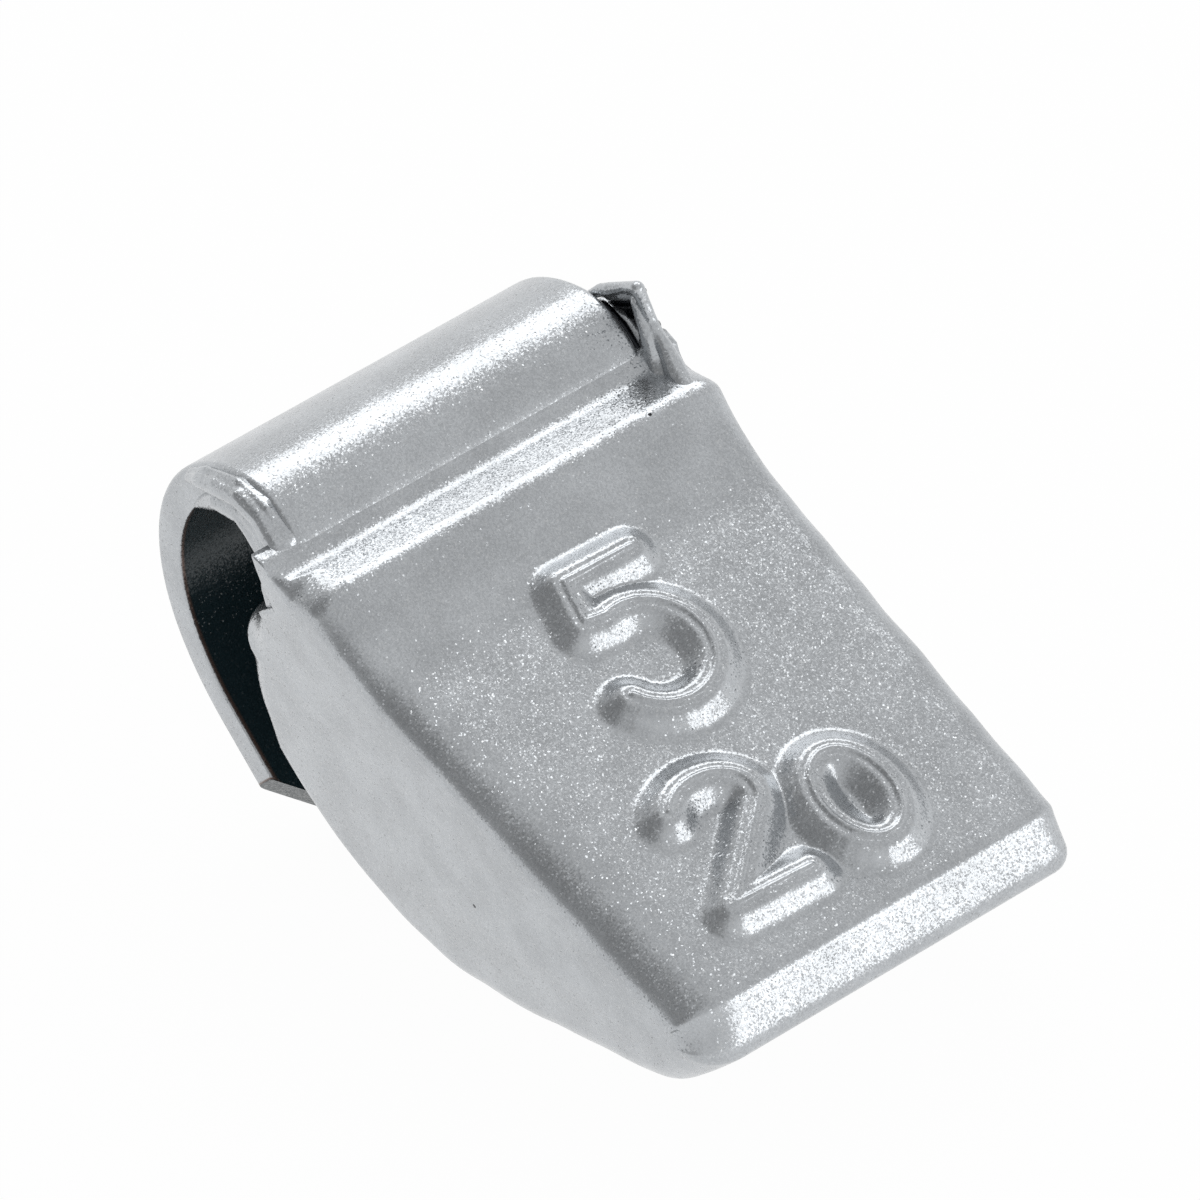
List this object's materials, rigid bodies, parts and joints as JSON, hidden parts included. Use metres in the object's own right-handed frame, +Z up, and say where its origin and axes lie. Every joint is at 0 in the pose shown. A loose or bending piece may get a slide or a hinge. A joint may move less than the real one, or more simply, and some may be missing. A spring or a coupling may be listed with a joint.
{
  "type": "clip-on wheel balance weight",
  "caption": "Clip-on wheel balance weight: a wedge of cast zinc with a raised shoulder, cast round one leg of a hooked spring steel clip, coated in silver flake paint.",
  "frame": {"origin": "centre of the bounding box's base, on the surface that the weight lies on", "axes": "+Z up from the surface it lies on, X along the wheel's rim and the clip's width, +Y from the lower edge towards the hook"},
  "size_m": [0.01, 0.0172, 0.0099],
  "materials": {
    "body_paint": "silver flake paint over zinc casting",
    "clip_paint": "silver flake paint over spring steel strip"
  },
  "bodies": {
    "root": {"spring_clip": "clip_paint", "cast_body": "body_paint"}
  },
  "joints": []
}
